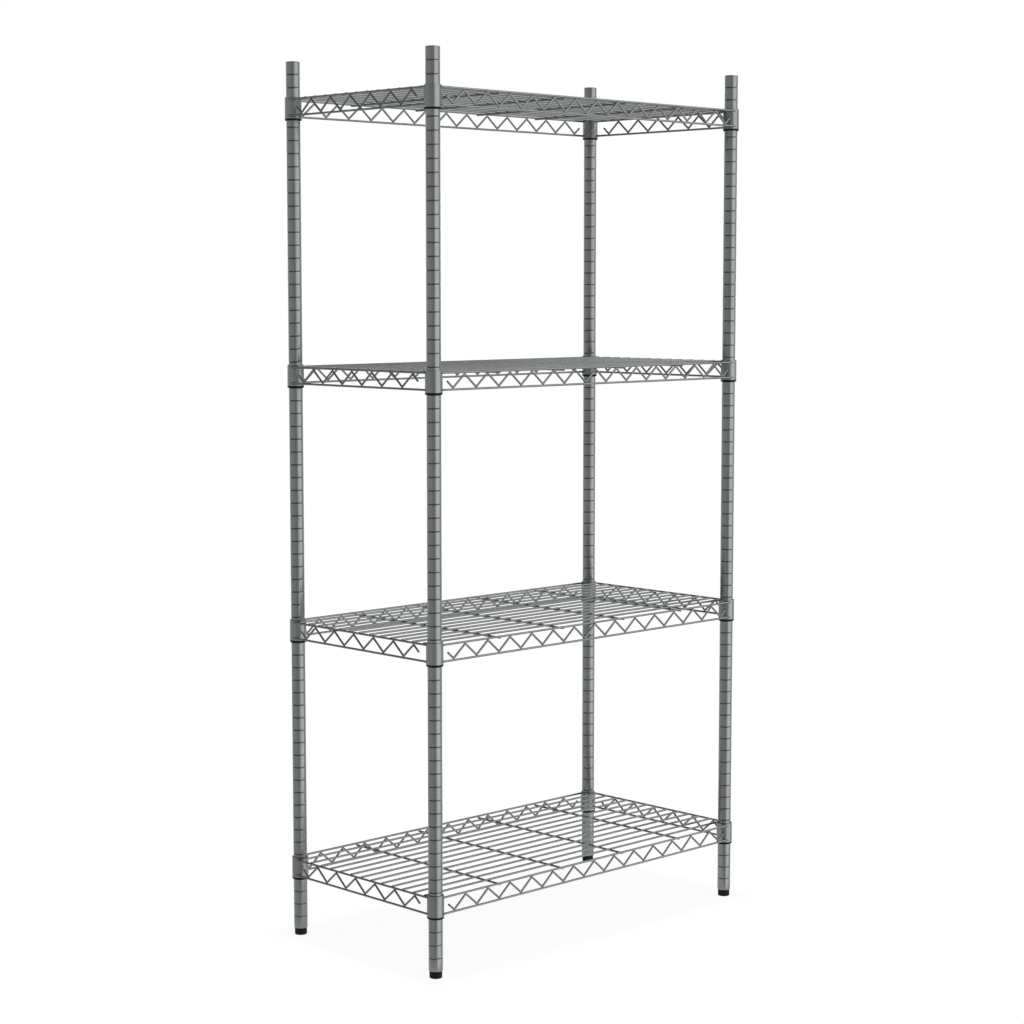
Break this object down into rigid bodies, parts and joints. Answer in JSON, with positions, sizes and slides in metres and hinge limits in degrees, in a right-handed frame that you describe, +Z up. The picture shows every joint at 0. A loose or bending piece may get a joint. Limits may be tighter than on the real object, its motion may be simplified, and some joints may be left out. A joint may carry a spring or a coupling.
{
  "type": "wire shelving unit",
  "caption": "Free-standing plated wire shelving unit: grooved round posts on levelling feet, with welded zigzag-truss wire shelves on tapered split sleeves.",
  "frame": {"origin": "on the floor, under the middle of the unit", "axes": "+Z up, +X along the long side towards the right, -Y towards the front"},
  "size_m": [0.8702, 0.4396, 1.7412],
  "materials": {
    "post_plating": "satin chrome plating on steel tube",
    "cap_plating": "satin chrome plating on pressed steel",
    "collar_plating": "satin chrome plating on formed steel",
    "wire_plating": "satin chrome plating on drawn steel wire",
    "sleeve_plastic": "moulded black, matt",
    "insert_plastic": "moulded black, matt",
    "foot_plastic": "moulded black, matt",
    "stem_steel": "zinc-plated screw"
  },
  "bodies": {
    "posts": {"front_left_post": "post_plating", "front_left_post_cap": "cap_plating", "front_left_foot_insert": "insert_plastic", "front_right_post": "post_plating", "front_right_post_cap": "cap_plating", "front_right_foot_insert": "insert_plastic", "back_left_post": "post_plating", "back_left_post_cap": "cap_plating", "back_left_foot_insert": "insert_plastic", "back_right_post": "post_plating", "back_right_post_cap": "cap_plating", "back_right_foot_insert": "insert_plastic", "shelf_1_front_left_sleeve": "sleeve_plastic", "shelf_1_front_right_sleeve": "sleeve_plastic", "shelf_1_back_left_sleeve": "sleeve_plastic", "shelf_1_back_right_sleeve": "sleeve_plastic", "shelf_2_front_left_sleeve": "sleeve_plastic", "shelf_2_front_right_sleeve": "sleeve_plastic", "shelf_2_back_left_sleeve": "sleeve_plastic", "shelf_2_back_right_sleeve": "sleeve_plastic", "shelf_3_front_left_sleeve": "sleeve_plastic", "shelf_3_front_right_sleeve": "sleeve_plastic", "shelf_3_back_left_sleeve": "sleeve_plastic", "shelf_3_back_right_sleeve": "sleeve_plastic", "shelf_4_front_left_sleeve": "sleeve_plastic", "shelf_4_front_right_sleeve": "sleeve_plastic", "shelf_4_back_left_sleeve": "sleeve_plastic", "shelf_4_back_right_sleeve": "sleeve_plastic"},
    "front_left_foot": {"front_left_foot_pad": "foot_plastic", "front_left_foot_stem": "stem_steel"},
    "front_right_foot": {"front_right_foot_pad": "foot_plastic", "front_right_foot_stem": "stem_steel"},
    "back_left_foot": {"back_left_foot_pad": "foot_plastic", "back_left_foot_stem": "stem_steel"},
    "back_right_foot": {"back_right_foot_pad": "foot_plastic", "back_right_foot_stem": "stem_steel"},
    "shelf_1": {"shelf_1_collars": "collar_plating", "shelf_1_top_rails": "wire_plating", "shelf_1_bottom_rails": "wire_plating", "shelf_1_truss_wires": "wire_plating", "shelf_1_deck_wires": "wire_plating", "shelf_1_cross_wires": "wire_plating"},
    "shelf_2": {"shelf_2_collars": "collar_plating", "shelf_2_top_rails": "wire_plating", "shelf_2_bottom_rails": "wire_plating", "shelf_2_truss_wires": "wire_plating", "shelf_2_deck_wires": "wire_plating", "shelf_2_cross_wires": "wire_plating"},
    "shelf_3": {"shelf_3_collars": "collar_plating", "shelf_3_top_rails": "wire_plating", "shelf_3_bottom_rails": "wire_plating", "shelf_3_truss_wires": "wire_plating", "shelf_3_deck_wires": "wire_plating", "shelf_3_cross_wires": "wire_plating"},
    "shelf_4": {"shelf_4_collars": "collar_plating", "shelf_4_top_rails": "wire_plating", "shelf_4_bottom_rails": "wire_plating", "shelf_4_truss_wires": "wire_plating", "shelf_4_deck_wires": "wire_plating", "shelf_4_cross_wires": "wire_plating"}
  },
  "joints": [
    {"name": "shelf_1_lift", "type": "slide", "parent": "posts", "child": "shelf_1", "axis": [0, 0, 1], "range_m": [0, 0.434]},
    {"name": "shelf_2_lift", "type": "slide", "parent": "posts", "child": "shelf_2", "axis": [0, 0, 1], "range_m": [0, 0.46]},
    {"name": "shelf_3_lift", "type": "slide", "parent": "posts", "child": "shelf_3", "axis": [0, 0, 1], "range_m": [0, 0.473]},
    {"name": "shelf_4_lift", "type": "slide", "parent": "posts", "child": "shelf_4", "axis": [0, 0, 1], "range_m": [0, 0.12]},
    {"name": "front_left_foot_level", "type": "slide", "parent": "posts", "child": "front_left_foot", "axis": [0, 0, -1], "range_m": [0, 0.02]},
    {"name": "front_right_foot_level", "type": "slide", "parent": "posts", "child": "front_right_foot", "axis": [0, 0, -1], "range_m": [0, 0.02]},
    {"name": "back_left_foot_level", "type": "slide", "parent": "posts", "child": "back_left_foot", "axis": [0, 0, -1], "range_m": [0, 0.02]},
    {"name": "back_right_foot_level", "type": "slide", "parent": "posts", "child": "back_right_foot", "axis": [0, 0, -1], "range_m": [0, 0.02]}
  ]
}
